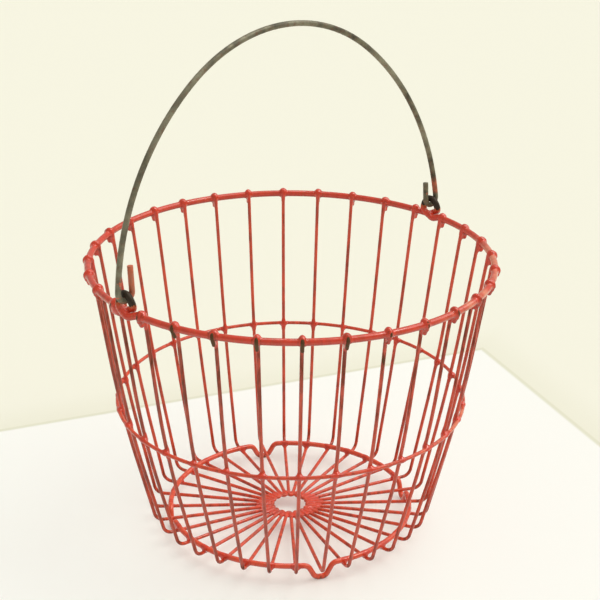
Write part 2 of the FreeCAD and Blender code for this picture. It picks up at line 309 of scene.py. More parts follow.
@dataclass(frozen=True)
class Effects:
    """The effects that several finishes share, each a node group."""

    mottle: bpy.types.NodeTree
    chips: bpy.types.NodeTree
    lumps: bpy.types.NodeTree
    whereabouts: bpy.types.NodeTree

    @classmethod
    def build(cls, sizes: "BasketSizes") -> "Effects":
        """Builds each group once."""
        return cls(cls._mottle(), cls._chips(), cls._lumps(), cls._whereabouts(sizes))

    @staticmethod
    def _mottle() -> bpy.types.NodeTree:
        """Uneven colour: broad clouds and fine specks.

        Returns:
            The group.
        """
        bench, taken, given = new_group("UnevenCoat", {"Scale": 60.0}, ("Clouds", "Specks"))
        clouds = bench.cloud(taken["Place"], taken["Scale"], 4.0, 0.6)
        fine = bench.maths("MULTIPLY", taken["Scale"], 14.0)
        specks = bench.cloud(taken["Place"], fine, 2.0, 0.5)
        bench.feed(given["Clouds"], bench.step(clouds, 0.36, 0.66))
        bench.feed(given["Specks"], bench.step(specks, 0.56, 0.72))
        return bench.tree

    @staticmethod
    def _chips() -> bpy.types.NodeTree:
        """Worn-through spots, more of them where the likelihood is high, and the stain round them.

        Returns:
            The group.
        """
        bench, taken, given = new_group("WornThrough", {"Likelihood": 0.0, "Scale": 300.0},
                                        ("Bare", "Stain"))
        coarse = bench.cloud(taken["Place"], taken["Scale"], 5.0, 0.65)
        level = bench.maths("ADD", coarse, bench.maths("MULTIPLY", taken["Likelihood"], 0.55))
        bench.feed(given["Bare"], bench.step(level, 0.82, 0.88))
        bench.feed(given["Stain"], bench.step(level, 0.58, 0.84))
        return bench.tree

    @staticmethod
    def _lumps() -> bpy.types.NodeTree:
        """Height of a dipped coat: soft runs and a fine skin.

        Returns:
            The group.
        """
        bench, taken, given = new_group("DippedSkin", {"Runs": 1.0, "Skin": 0.3}, ("Height",))
        runs = bench.cloud(taken["Place"], 190.0, 2.0, 0.5)
        skin = bench.cloud(taken["Place"], 1500.0, 2.0, 0.5)
        total = bench.maths("ADD", bench.maths("MULTIPLY", runs, taken["Runs"]),
                            bench.maths("MULTIPLY", skin, taken["Skin"]))
        bench.feed(given["Height"], total)
        return bench.tree

    @staticmethod
    def _whereabouts(sizes: "BasketSizes") -> bpy.types.NodeTree:
        """Tells apart the places of a basket that wear: hooks, eyes, feet, corners and used sides, and the
        places that get painted shade and a painted highlight.

        Args:
            sizes: the basket's sizes.

        Returns:
            The group.
        """
        outputs = ("Hook", "Eye", "Foot", "Corner", "Shoulder", "Shaded Grimy Side", "Faded Sheen Arc",
                   "Used Side", "Underside Shade")
        bench, taken, given = new_group("BasketPlaces", {}, outputs)
        rim_height, rim_radius, foot_radius = sizes.rim_height, sizes.rim_radius, sizes.foot_ring_radius
        split = bench.add("ShaderNodeSeparateXYZ")
        bench.feed(split.inputs[0], taken["Place"])
        across, along, height = split.outputs
        flat = bench.maths("SQRT", bench.maths("ADD", bench.maths("MULTIPLY", across, across),
                                               bench.maths("MULTIPLY", along, along)))
        handled, shaded_grimy, faded_sheen, used = (bench.toward(across, along, flat, side) for side in
                                        (HANDLED_SIDE, SHADED_GRIMY_SIDE, FADED_SHEEN_ARC, USED_SIDE))

        # The outer wire of a hook: worn all over on the handled side, and on its crest elsewhere.
        near_rim = bench.step(height, rim_height - 0.011, rim_height - 0.007)
        outside = bench.step(flat, rim_radius - 0.0004, rim_radius + 0.0016)
        outer_hook = bench.maths("MULTIPLY", near_rim, outside)
        crest = bench.step(height, rim_height - 0.0015, rim_height + 0.0005)
        open_hook = bench.maths("MAXIMUM", crest, bench.step(handled, 0.86, 0.95))
        gripped = bench.stretch(bench.step(used, 0.30, 0.95), 0.15, 1.0)
        hook = bench.maths("MULTIPLY", bench.maths("MULTIPLY", outer_hook, open_hook), gripped)
        bench.feed(given["Hook"], hook)

        # The eyes stand above the rim at its two ends, and the feet are lowest of all.
        far_out = bench.step(bench.maths("ABSOLUTE", across), rim_radius - 0.006, rim_radius - 0.003)
        above = bench.step(height, rim_height + 0.002, rim_height + 0.012)
        bench.feed(given["Eye"], bench.maths("MULTIPLY", far_out, above))
        bench.feed(given["Foot"], bench.step(height, 0.006, 0.001))

        # A rib's corner is low and outside the foot ring. Its shoulder is the stretch under the rim.
        low = bench.step(height, 0.030, 0.012)
        wide = bench.step(flat, foot_radius + 0.004, foot_radius + 0.009)
        bench.feed(given["Corner"], bench.maths("MULTIPLY", low, wide))
        shoulder = bench.maths("MULTIPLY", bench.step(height, rim_height - 0.140, rim_height - 0.006),
                               bench.step(height, rim_height + 0.008, rim_height - 0.002))
        not_hook = bench.maths("SUBTRACT", 1.0, outer_hook)
        bench.feed(given["Shoulder"], bench.maths("MULTIPLY", shoulder, not_hook))

        # The side whose ribs get painted shade and grime, above the floor.
        standing = bench.step(height, 0.012, 0.030)
        bench.feed(given["Shaded Grimy Side"], bench.maths("MULTIPLY", bench.step(shaded_grimy, 0.55, 0.95), standing))
        # The arc where the coating is painted paler: faded, with a painted highlight.
        bench.feed(given["Faded Sheen Arc"], bench.step(faded_sheen, 0.80, 0.96))
        bench.feed(given["Used Side"], bench.step(used, -0.2, 0.6))
        # Faces that point down, which get painted shade.
        facing = bench.add("ShaderNodeSeparateXYZ")
        bench.feed(facing.inputs[0], bench.add("ShaderNodeNewGeometry").outputs["Normal"])
        bench.feed(given["Underside Shade"], bench.step(facing.outputs[2], 0.1, -0.7))
        return bench.tree


# ---------------- finishes


def new_material(name: str, colour: Colour) -> tuple[bpy.types.Material, Bench, bpy.types.Node]:
    """Starts a material.

    Args:
        name: its name.
        colour: its colour in a plain viewport.

    Returns:
        The material, the bench to build it on, and its surface shader.
    """
    material = bpy.data.materials.new(name)
    material.use_nodes = True
    material.diffuse_color = (*colour, 1)
    return material, Bench(material.node_tree), material.node_tree.nodes["Principled BSDF"]


@dataclass(frozen=True)
class RedCoat:
    """Dipped red coating over steel, worn through where it is handled, with painted shade underneath and, on
    some parts, a painted highlight.

    The wear values are how likely the coating is to be gone at each place, from 0 to 1.
    """

    name: str
    lit: Colour = (0.79, 0.070, 0.018)
    # Dark red for grime streaks, and for the painted shade on faces that point down.
    grime_and_shade: Colour = (0.22, 0.018, 0.006)
    faded: Colour = (0.68, 0.13, 0.045)
    # Stains round worn spots, and the painted shade and grime on one side.
    stain_and_shade: Colour = (0.150, 0.034, 0.011)
    steel: Colour = (0.095, 0.062, 0.028)
    # Faded coating with a painted highlight on it.
    faded_sheen: Colour = (0.80, 0.24, 0.13)
    hook_wear: float = 0.0
    eye_wear: float = 0.0
    foot_wear: float = 0.0
    corner_wear: float = 0.0
    shoulder_wear: float = 0.0
    # How strong the painted shade and grime on one side are.
    side_shade_and_grime: float = 0.0
    # How strong the pale arc of faded coating and painted highlight is.
    fade_and_sheen: float = 0.0
    general_wear: float = 0.05
    dirt: float = 0.6
    roughness: float = 0.34
    gloss: float = 0.8
    gloss_roughness: float = 0.10
    specular: float = 0.28
    mottle_scale: float = 55.0
    streak_scale: float = 240.0
    streak_squash: float = 0.14
    chip_scale: float = 430.0

    def build(self, effects: Effects) -> bpy.types.Material:
        """Makes the material.

        Args:
            effects: the shared node groups.

        Returns:
            The finished material.
        """
        material, bench, shader = new_material(self.name, self.lit)
        place = bench.place()
        where = bench.group(effects.whereabouts, Place=place)
        drawn = bench.add("ShaderNodeMapping")
        bench.feed(drawn.inputs["Vector"], place)
        drawn.inputs["Scale"].default_value = (1.0, 1.0, self.streak_squash)
        clouds, specks = bench.group(effects.mottle, Place=place, Scale=self.mottle_scale).outputs
        streaks = bench.group(effects.mottle, Place=drawn.outputs[0],
                              Scale=self.streak_scale).outputs["Clouds"]
        dirty = bench.maths("MULTIPLY", bench.maths("MULTIPLY", streaks, self.dirt),
                            bench.stretch(clouds, 1.0, 0.35))
        paint = bench.blend(dirty, self.lit, self.grime_and_shade)
        paint = bench.blend(bench.maths("MULTIPLY", specks, 0.35), paint, self.faded)
        # Painted shade: faces that point down are darkened.
        paint = bench.blend(bench.maths("MULTIPLY", where.outputs["Underside Shade"], 0.6), paint, self.grime_and_shade)
        # Painted shade and grime, most on one side of the basket.
        paint = bench.blend(self._shade_and_grime(bench, where, streaks), paint, self.stain_and_shade)
        # A painted highlight over faded coating, on the pale arc.
        faded_sheen = bench.maths("MULTIPLY", where.outputs["Faded Sheen Arc"], self.fade_and_sheen)
        paint = bench.blend(bench.maths("MULTIPLY", faded_sheen, clouds), paint, self.faded_sheen)

        worn = self._worn(bench, where)
        bare, stained = bench.group(effects.chips, Place=drawn.outputs[0], Likelihood=worn,
                                    Scale=self.chip_scale).outputs
        paint = bench.blend(bench.maths("MULTIPLY", stained, 0.8), paint, self.stain_and_shade)
        bench.feed(shader.inputs["Base Color"], bench.blend(bare, paint, self.steel))
        bench.feed(shader.inputs["Metallic"], bench.maths("MULTIPLY", bare, 0.5))
        dull = bench.maths("ADD", bench.maths("MULTIPLY", dirty, 0.22), self.roughness)
        dull = bench.maths("ADD", dull, bench.maths("MULTIPLY", stained, 0.2), clamp=True)
        bench.feed(shader.inputs["Roughness"], dull)
        gloss = bench.maths("SUBTRACT", self.gloss, bench.maths("MULTIPLY", stained, 0.75), clamp=True)
        bench.feed(shader.inputs["Coat Weight"], gloss)
        shader.inputs["Coat Roughness"].default_value = self.gloss_roughness
        shader.inputs["Specular IOR Level"].default_value = self.specular
        lumps = bench.group(effects.lumps, Place=place, Runs=1.0, Skin=0.12).outputs["Height"]
        height = bench.maths("SUBTRACT", lumps, bench.maths("MULTIPLY", bare, 0.35))
        bench.feed(shader.inputs["Normal"], bench.bump(height, 0.6, 0.0008))
        return material

    def _shade_and_grime(self, bench: Bench, where: bpy.types.Node, streaks: Socket) -> Socket:
        """How dark each point is with painted shade and grime: most on the shaded side, a little on the used
        side.

        Args:
            bench: the material's bench.
            where: the node that tells the places apart.
            streaks: streaks along the wires.

        Returns:
            The darkness's socket.
        """
        shaded_grimy = bench.maths("ADD", bench.maths("MULTIPLY", where.outputs["Used Side"], 0.14),
                            bench.maths("MULTIPLY", where.outputs["Shaded Grimy Side"], 0.7), clamp=True)
        shaded_grimy = bench.maths("MULTIPLY", shaded_grimy, bench.stretch(streaks, 0.45, 1.0))
        return bench.maths("MULTIPLY", shaded_grimy, self.side_shade_and_grime)

    def _worn(self, bench: Bench, where: bpy.types.Node) -> Socket:
        """How likely the coating is to be gone at each point.

        Args:
            bench: the material's bench.
            where: the node that tells the places apart.

        Returns:
            The likelihood's socket.
        """
        used = bench.stretch(where.outputs["Used Side"], 0.25, 1.0)
        worn = bench.maths("MULTIPLY", where.outputs["Hook"], self.hook_wear)
        worn = bench.maths("MULTIPLY", worn, used)
        places = (("Eye", self.eye_wear), ("Foot", self.foot_wear), ("Corner", self.corner_wear))
        for label, amount in places:
            worn = bench.maths("MAXIMUM", worn, bench.maths("MULTIPLY", where.outputs[label], amount))
        shoulder = bench.maths("MULTIPLY", where.outputs["Shoulder"], where.outputs["Used Side"])
        worn = bench.maths("MAXIMUM", worn, bench.maths("MULTIPLY", shoulder, self.shoulder_wear))
        return bench.maths("ADD", worn, self.general_wear, clamp=True)


@dataclass(frozen=True)
class BareSteel:
    """Bare drawn wire with an olive-grey patina, rust freckles and rubbed high spots."""

    name: str
    patina: Colour = (0.175, 0.160, 0.095)
    pale: Colour = (0.38, 0.36, 0.25)
    dark: Colour = (0.060, 0.054, 0.032)
    rust: Colour = (0.16, 0.065, 0.028)
    paint: Colour = (0.70, 0.120, 0.040)
    metallic: float = 0.30
    stub_x: tuple[float, float] = (-0.172, -0.1695)
    leg_x: tuple[float, float] = (0.1715, 0.1740)

    def build(self, effects: Effects, sizes: "BasketSizes") -> bpy.types.Material:
        """Makes the material.

        Args:
            effects: the shared node groups.
            sizes: the basket's sizes, for the places of the paint traces.

        Returns:
            The finished material.
        """
        material, bench, shader = new_material(self.name, self.patina)
        place = bench.place()
        clouds = bench.group(effects.mottle, Place=place, Scale=110.0).outputs["Clouds"]
        broad = bench.group(effects.mottle, Place=place, Scale=22.0).outputs["Clouds"]
        colour = bench.blend(clouds, self.dark, self.patina)
        colour = bench.blend(bench.maths("MULTIPLY", broad, 0.55), colour, self.pale)
        rusty = bench.group(effects.chips, Place=place, Likelihood=0.18, Scale=260.0).outputs["Stain"]
        colour = bench.blend(bench.maths("MULTIPLY", rusty, 0.8), colour, self.rust)
        painted = self._painted(bench, effects, sizes, clouds)
        colour = bench.blend(bench.maths("MULTIPLY", painted, 0.85), colour, self.paint)
        bench.feed(shader.inputs["Base Color"], colour)
        covered = bench.maths("MULTIPLY", bench.maths("MAXIMUM", rusty, painted), self.metallic)
        bench.feed(shader.inputs["Metallic"], bench.maths("SUBTRACT", self.metallic, covered, clamp=True))
        bench.feed(shader.inputs["Roughness"], bench.stretch(clouds, 0.58, 0.40))
        lumps = bench.group(effects.lumps, Place=place, Runs=0.5, Skin=0.5).outputs["Height"]
        bench.feed(shader.inputs["Normal"], bench.bump(lumps, 0.5, 0.0003))
        return material

    def _painted(self, bench: Bench, effects: Effects, sizes: "BasketSizes", clouds: Socket) -> Socket:
        """Where red coating has stayed on: the stub at -X, low on the leg at +X, and in flecks.

        Args:
            bench: the material's bench.
            effects: the shared node groups.
            sizes: the basket's sizes.
            clouds: uneven patches over the wire.

        Returns:
            The mask's socket.
        """
        split = bench.add("ShaderNodeSeparateXYZ")
        bench.feed(split.inputs[0], bench.place())
        across, _along, height = split.outputs
        swing = sizes.swing_height
        low = bench.step(height, sizes.rim_height + 0.060, sizes.rim_height + 0.020)
        likely = bench.maths("MULTIPLY", low, 0.42)
        flecks = bench.group(effects.chips, Place=bench.place(), Likelihood=likely, Scale=150.0).outputs["Bare"]
        stub = bench.maths("MULTIPLY", bench.step(across, *self.stub_x), bench.step(across, 0.0, -0.1))
        stub = bench.maths("MULTIPLY", stub, bench.step(height, swing + 0.033, swing + 0.030))
        stub = bench.maths("MULTIPLY", stub, bench.stretch(clouds, 0.55, 1.0))
        leg = bench.maths("MULTIPLY", bench.step(across, *self.leg_x),
                          bench.step(height, swing + 0.009, swing + 0.013))
        leg = bench.maths("MULTIPLY", leg, bench.step(height, swing + 0.028, swing + 0.020))
        leg = bench.maths("MULTIPLY", leg, bench.stretch(clouds, 0.35, 1.0))
        return bench.maths("MAXIMUM", bench.maths("MAXIMUM", stub, leg), flecks)


@dataclass(frozen=True)
class PaleFloor:
    """A near-white cover with one square corner behind the basket, on a cream floor.

    The corner is a place on the floor in metres, and turn is how far round the cover lies, in degrees.
    """

    name: str = "pale_floor"
    cover: Colour = (0.930, 0.940, 0.905)
    beyond: Colour = (0.872, 0.868, 0.752)
    # The colour of the painted shade along the cover's edge.
    seam_shade: Colour = (0.70, 0.70, 0.53)
    corner: tuple[float, float] = (0.4065, 0.1213)
    turn: float = -20.4

    def build(self) -> bpy.types.Material:
        """Makes the material.

        Returns:
            The finished material.
        """
        material, bench, shader = new_material(self.name, self.cover)
        place = bench.place()
        turned = bench.add("ShaderNodeMapping", vector_type="TEXTURE")
        bench.feed(turned.inputs["Vector"], place)
        turned.inputs["Location"].default_value = (*self.corner, 0)
        turned.inputs["Rotation"].default_value = (0, 0, math.radians(self.turn))
        split = bench.add("ShaderNodeSeparateXYZ")
        bench.feed(split.inputs[0], turned.outputs[0])
        edge = bench.maths("MAXIMUM", split.outputs[0], split.outputs[1])
        outside = bench.step(edge, -0.001, 0.003)
        # Painted shade along the cover's edge, and a painted shadow fading out beyond it.
        line = bench.maths("MULTIPLY", bench.step(edge, -0.004, 0.0), bench.step(edge, 0.006, 0.001))
        shade = bench.maths("MULTIPLY", outside, bench.step(edge, 0.060, 0.0))
        line = bench.maths("MAXIMUM", line, bench.maths("MULTIPLY", shade, 0.3))
        seam_shade = bench.maths("MULTIPLY", line, 0.75)
        broad = bench.cloud(place, 3.0, 2.0)
        cover = bench.blend(bench.maths("MULTIPLY", broad, 0.12), self.cover, self.beyond)
        colour = bench.blend(outside, cover, self.beyond)
        bench.feed(shader.inputs["Base Color"], bench.blend(seam_shade, colour, self.seam_shade))
        shader.inputs["Roughness"].default_value = 0.85
        shader.inputs["Specular IOR Level"].default_value = 0.0
        return material


# ---------------- sizes


@dataclass(frozen=True)
class BasketSizes:
    """Sizes of the basket in metres: wires as drawn, places as the frame has them."""

    rim_radius: float
    rim_height: float
    ring_height: float
    spoke_height: float
    hoop_radius: float
    hoop_height: float
    swing_height: float
    hairpins: int
    foot_ring_radius: float = 0.1085
    eye_reach: float = 0.0010
    hook_radius: float = 0.00325
    hub_radius: float = 0.0172
    foot_angles: tuple[float, ...] = (-28.125, 61.875, 151.875, 241.875)
    rim_wire: float = 0.0058
    rib_wire: float = 0.0031
    hoop_wire: float = 0.0032
    foot_wire: float = 0.0047

    @classmethod
    def from_frame(cls) -> "BasketSizes":
        """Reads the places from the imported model.

        Returns:
            The sizes.
        """
        rim_high, foot_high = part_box("rim_ring")[1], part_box("foot_ring")[1]
        hoop_low, hoop_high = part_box("mid_hoop")
        hook_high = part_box("rib_hairpin_01")[1]
        return cls(
            rim_radius=rim_high.y - cls.rim_wire / 2,
            rim_height=hook_high.z - cls.hook_radius - cls.rib_wire / 2,
            ring_height=foot_high.z - cls.foot_wire / 2,
            # The foot ring rides on the floor's spokes, and its top is a wire above them.
            spoke_height=foot_high.z - cls.foot_wire - cls.rib_wire / 2 + WELD_OVERLAP,
            hoop_radius=hoop_high.x - cls.hoop_wire / 2,
            hoop_height=(hoop_low.z + hoop_high.z) / 2,
            swing_height=frame["joints"][0]["pos_m"][2],
            hairpins=sum(name.startswith("rib_hairpin") for name in frame["nodes"]),
        )


# ---------------- pooled coating


@dataclass
class Pool:
    """Thick coating that has run together where wires meet: simple shapes, melted into one."""

    grain: float
    melt: int = 6
    mesh: bmesh.types.BMesh = field(default_factory=bmesh.new)

    def rod(self, start: Vector, end: Vector, radius: float, end_radius: float | None = None) -> None:
        """Adds a round rod.

        Args:
            start: the middle of its first end.
            end: the middle of its last end.
            radius: its radius at the start.
            end_radius: its radius at the end, where it tapers.
        """
        along = end - start
        turn = along.to_track_quat("Z", "Y").to_matrix().to_4x4()
        bmesh.ops.create_cone(
            self.mesh, cap_ends=True, segments=16, radius1=radius,
            radius2=radius if end_radius is None else end_radius, depth=along.length,
            matrix=Matrix.Translation((start + end) / 2) @ turn)

    def ball(self, centre: Vector, radius: float,
             stretch: tuple[float, float, float] = (1, 1, 1)) -> None:
        """Adds a ball, stretched along the axes."""
        shape = Matrix.Translation(centre) @ Matrix.Diagonal((*stretch, 1))
        bmesh.ops.create_icosphere(self.mesh, subdivisions=3, radius=radius, matrix=shape)

    def chain(self, points: list[Vector], radius: float) -> None:
        """Adds rods and balls from point to point.

        Args:
            points: the chain's points.
            radius: the radius of the rods and balls.
        """
        for start, end in zip(points, points[1:]):
            self.rod(start, end, radius)
            self.ball(end, radius)

    def sleeve(self, start: Vector, way: Vector, wire: float, profile: Profile) -> None:
        """Adds a tapering sleeve along a wire.

        Args:
            start: the crossing that it starts from.
            way: the wire's direction.
            wire: the wire's radius.
            profile: the sleeve's stops, as its distance and how far it stands over the wire.
        """
        for (near, over), (far, far_over) in zip(profile, profile[1:]):
            self.rod(start + way * near, start + way * far, wire + over, wire + far_over)

    def melted(self) -> bpy.types.Mesh:
        """Melts the shapes into one smooth skin.

        Returns:
            The finished mesh.
        """
        rough = as_object("pool", self.mesh)
        remesh = rough.modifiers.new("one_skin", "REMESH")
        remesh.mode = "VOXEL"
        remesh.voxel_size = self.grain
        relax = rough.modifiers.new("melt", "SMOOTH")
        relax.factor = 0.5
        relax.iterations = self.melt
        graph = bpy.context.evaluated_depsgraph_get()
        skin = bpy.data.meshes.new_from_object(rough.evaluated_get(graph), depsgraph=graph)
        old = rough.data
        bpy.data.objects.remove(rough)
        bpy.data.meshes.remove(old)
        return skin


def placed(name: str, skin: bpy.types.Mesh, places: Iterable[Matrix], ripple: float,
           seed: int) -> bpy.types.Object:
    """Puts copies of a skin at several places, in one piece, each a little different.

    Args:
        name: the piece's name.
        skin: the mesh to copy.
        places: where each copy goes.
        ripple: how far the skin swells and sinks from copy to copy.
        seed: shifts the ripple's pattern.

    Returns:
        The piece, riding on the basket.
    """
    whole = bmesh.new()
    for place in places:
        known = len(whole.verts)
        whole.from_mesh(skin)
        whole.verts.ensure_lookup_table()
        fresh = whole.verts[known:]
        bmesh.ops.transform(whole, matrix=place, verts=fresh)
    whole.normal_update()
    shift = Vector((seed * 0.37, seed * 0.11, 0))
    for vert in whole.verts:
        vert.co += vert.normal * noise.noise(vert.co * 260.0 + shift) * ripple
    piece = as_object(name, whole)
    piece.data.shade_smooth()
    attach(piece, Body.BASKET.value)
    return piece


def wheel_place(angle: float, radius: float, height: float, swell: float = 1.0) -> Matrix:
    """A place on a level circle: x outwards, y along the circle, z up.

    Args:
        angle: degrees from +X.
        radius: the circle's radius.
        height: the circle's height.
        swell: stretch along the circle.

    Returns:
        The place's matrix.
    """
    turn = Matrix.Rotation(math.radians(angle), 4, "Z")
    return turn @ Matrix.Translation((radius, 0, height)) @ Matrix.Diagonal((1, swell, 1, 1))


# ---------------- dressing


@dataclass
class WireBasket:
    """The welded basket: rim, hoop, foot ring and hairpins, and the coating pooled on them."""

    sizes: BasketSizes
    effects: Effects
    chance: random.Random = field(default_factory=lambda: random.Random(11))

    def dress(self) -> None:
        """Gives each wire its own finish and adds the pooled coating."""
        finishes = {
            "rim_ring": RedCoat("rim_coat", lit=(0.70, 0.046, 0.015), stain_and_shade=(0.46, 0.15, 0.045),
                                steel=(0.045, 0.032, 0.020), eye_wear=1.0, fade_and_sheen=1.0, general_wear=0.10,
                                dirt=0.35),
            "mid_hoop": RedCoat("hoop_coat", fade_and_sheen=1.0, general_wear=0.10, dirt=0.5),
            "foot_ring": RedCoat("foot_ring_coat", lit=(0.82, 0.085, 0.028), foot_wear=0.42,
                                 general_wear=0.06, dirt=0.3),
        }
        rib = RedCoat("rib_coat", steel=(0.110, 0.056, 0.022), hook_wear=0.95, corner_wear=0.22,
                      shoulder_wear=0.28, side_shade_and_grime=0.72, general_wear=0.13, dirt=0.75).build(self.effects)
        made = {name: finish.build(self.effects) for name, finish in finishes.items()}
        for name, node in frame["nodes"].items():
            if name == "bail":
                continue
            set_finish(node, made.get(name, rib))
            smooth(node)
            log.info("dressed %s", name)
        pooled = RedCoat("pooled_coat", lit=(0.74, 0.050, 0.016), hook_wear=0.20, general_wear=0.05,
                         dirt=0.35, roughness=0.26).build(self.effects)
        for piece in (*self.hook_pools(), *self.hoop_pools(), *self.foot_pools(), self.hub_pool(),
                      *self.eye_pools()):
            set_finish(piece, pooled)
            log.info("pooled coating: %s, %d faces", piece.name, len(piece.data.polygons))

    def leg_angles(self, hairpin: int) -> tuple[float, float]:
        """The two angles, in degrees, of one hairpin's legs."""
        step = 360 / self.sizes.hairpins
        return hairpin * step - step / 4, hairpin * step + step / 4

    def all_legs(self) -> list[float]:
        """The angles of all legs, hairpin by hairpin."""
        return [angle for hairpin in range(self.sizes.hairpins) for angle in self.leg_angles(hairpin)]

    def hook_skin(self, tail_coated: bool) -> bpy.types.Mesh:
        """A bead over a hook's crest, with a web that fills the hook below the rim.

        Args:
            tail_coated: whether the coating runs down over the hook's tail too.

        Returns:
            The skin, about the middle of the rim's wire.
        """
        pool = Pool(FINE_GRAIN)
        rim, rib, bend = self.sizes.rim_wire / 2, self.sizes.rib_wire / 2, self.sizes.hook_radius
        along = Vector((0, 1, 0))

        def arc(first: int, last: int) -> list[Vector]:
            """Points of the hook's wire every 15 degrees, down from one angle to another."""
            return [Vector((math.cos(turn), 0, math.sin(turn))) * bend
                    for turn in (math.radians(degrees) for degrees in range(first, last - 1, -15))]

        for side in (-1, 1):
            pool.sleeve(Vector(), along * side, rim, HOOK_ALONG_RIM)
        pool.ball(Vector((-0.0004, 0, 0.0012)), 0.0043, (1.0, 0.88, 1.0))
        pool.chain(arc(180, 75), rib + 0.00030)
        rib_top, tail_top = arc(180, 180)[0], arc(-15, -15)[0]
        tail_end = tail_top + HOOK_TAIL
        pool.sleeve(rib_top, RIB_LEAN, rib, HOOK_DOWN_RIB)
        for share in (0.0, 0.2, 0.4, 0.6, 0.75):
            pool.rod(rib_top + RIB_LEAN * (0.0022 + 0.0080 * share), tail_top.lerp(tail_end, share),
                     rib - 0.00015)
        if tail_coated:
            pool.chain(arc(75, 30), rib + 0.00010)
            # Only a thin line of the wire's outermost side stays bare between these two.
            for side in (-1, 1):
                pool.chain([point + along * side * 0.0007 for point in arc(45, -15)], rib - 0.00015)
            pool.rod(tail_top, tail_end, rib - 0.00020, rib + 0.00030)
            pool.ball(tail_end, rib + 0.00035)
            pool.ball(Vector((0.0010, 0, -0.0028)), 0.0030, (1.0, 0.85, 1.0))
        return pool.melted()

    def hook_pools(self) -> list[bpy.types.Object]:
        """Beads over all hooks; the much-handled ones have bare tails.

        Returns:
            One piece per hairpin, or two where only one of its tails is coated.
        """
        skins = {coated: self.hook_skin(coated) for coated in (False, True)}
        pieces = []
        for hairpin in range(self.sizes.hairpins):
            sides = {False: [], True: []}
            for angle in self.leg_angles(hairpin):
                coated = math.cos(math.radians(angle - HANDLED_SIDE)) < HANDLED_SPREAD
                sides[coated].append(wheel_place(angle, self.sizes.rim_radius, self.sizes.rim_height,
                                                 self.chance.uniform(0.85, 1.15)))
            for coated, places in sides.items():
                if places:
                    name = f"hook_coating_{hairpin + 1:02d}" + ("" if coated else "_worn")
                    pieces.append(placed(name, skins[coated], places, 0.00018, hairpin))
        return pieces

    def hoop_pools(self) -> list[bpy.types.Object]:
        """Swellings where the hoop is welded to the ribs.

        Returns:
            One piece per half of the basket.
        """
        pool = Pool(FINE_GRAIN)
        hoop, rib = self.sizes.hoop_wire / 2, self.sizes.rib_wire / 2
        along, upright = Vector((0, 1, 0)), Vector((0.126, 0, 1.0))
        crossing = Vector((-(hoop + rib - WELD_OVERLAP), 0, 0))
        for side in (-1, 1):
            pool.sleeve(Vector(), along * side, hoop, WELD_ALONG_HOOP)
            pool.sleeve(crossing, upright * side, rib, WELD_ALONG_RIB)
        pool.ball(crossing / 2, 0.0029, (1.0, 1.1, 1.1))
        circle = (self.sizes.hoop_radius, self.sizes.hoop_height)
        return self.weld_pieces("hoop", pool.melted(), self.all_legs(), circle, 1.2, 0.00015, 40)

    def foot_pools(self) -> list[bpy.types.Object]:
        """Fillets where the foot ring is welded to the spokes, except over its feet.

        Returns:
            One piece per half of the ring.
        """
        pool = Pool(grain=0.00046, melt=7)
        ring, rib = self.sizes.foot_wire / 2, self.sizes.rib_wire / 2
        below = Vector((0, 0, -(ring + rib - WELD_OVERLAP)))
        along, out = Vector((0, 1, 0)), Vector((1, 0, 0))
        for side in (-1, 1):
            pool.sleeve(Vector(), along * side, ring, WELD_ALONG_FOOT_RING)
        pool.sleeve(below, -out, rib, WELD_IN_ALONG_SPOKE)
        pool.sleeve(below, out, rib, WELD_OUT_ALONG_SPOKE)
        pool.ball(below * 0.55, 0.0024, (1.25, 1.3, 1.0))
        angles = [angle for angle in self.all_legs() if not self.over_foot(angle)]
        circle = (self.sizes.foot_ring_radius, self.sizes.ring_height)
        return self.weld_pieces("foot", pool.melted(), angles, circle, 1.25, 0.00018, 60)

    def weld_pieces(self, ring: str, skin: bpy.types.Mesh, angles: list[float],
                    circle: tuple[float, float], longest: float, ripple: float,
                    seed: int) -> list[bpy.types.Object]:
        """Puts a weld's skin at many legs, as two pieces.

        Args:
            ring: the ring that is welded, which starts the pieces' names.
            skin: the weld's skin.
            angles: the legs' angles, in degrees.
            circle: the radius and height of the welds' circle.
            longest: the largest stretch of a weld along the circle.
            ripple: how far the skin swells and sinks.
            seed: shifts the ripple's pattern.

        Returns:
            One piece per half of the legs.
        """
        half = len(angles) // 2
        pieces = []
        for number, share in enumerate((angles[:half], angles[half:]), start=1):
            places = [wheel_place(angle, *circle, self.chance.uniform(0.85, longest)) for angle in share]
            pieces.append(placed(f"{ring}_weld_coating_{number}", skin, places, ripple, seed + number))
        return pieces

    def over_foot(self, angle: float) -> bool:
        """Whether a leg at this angle passes over one of the ring's feet."""
        return any(abs((angle - foot + 180) % 360 - 180) < FOOT_HALF_WIDTH
                   for foot in self.sizes.foot_angles)

    def hub_pool(self) -> bpy.types.Object:
        """The band of coating that joins the hairpins' inner bends round the open middle.

        Returns:
            The piece.
        """
        pool = Pool(COARSE_GRAIN)
        rib, hub = self.sizes.rib_wire / 2, self.sizes.hub_radius
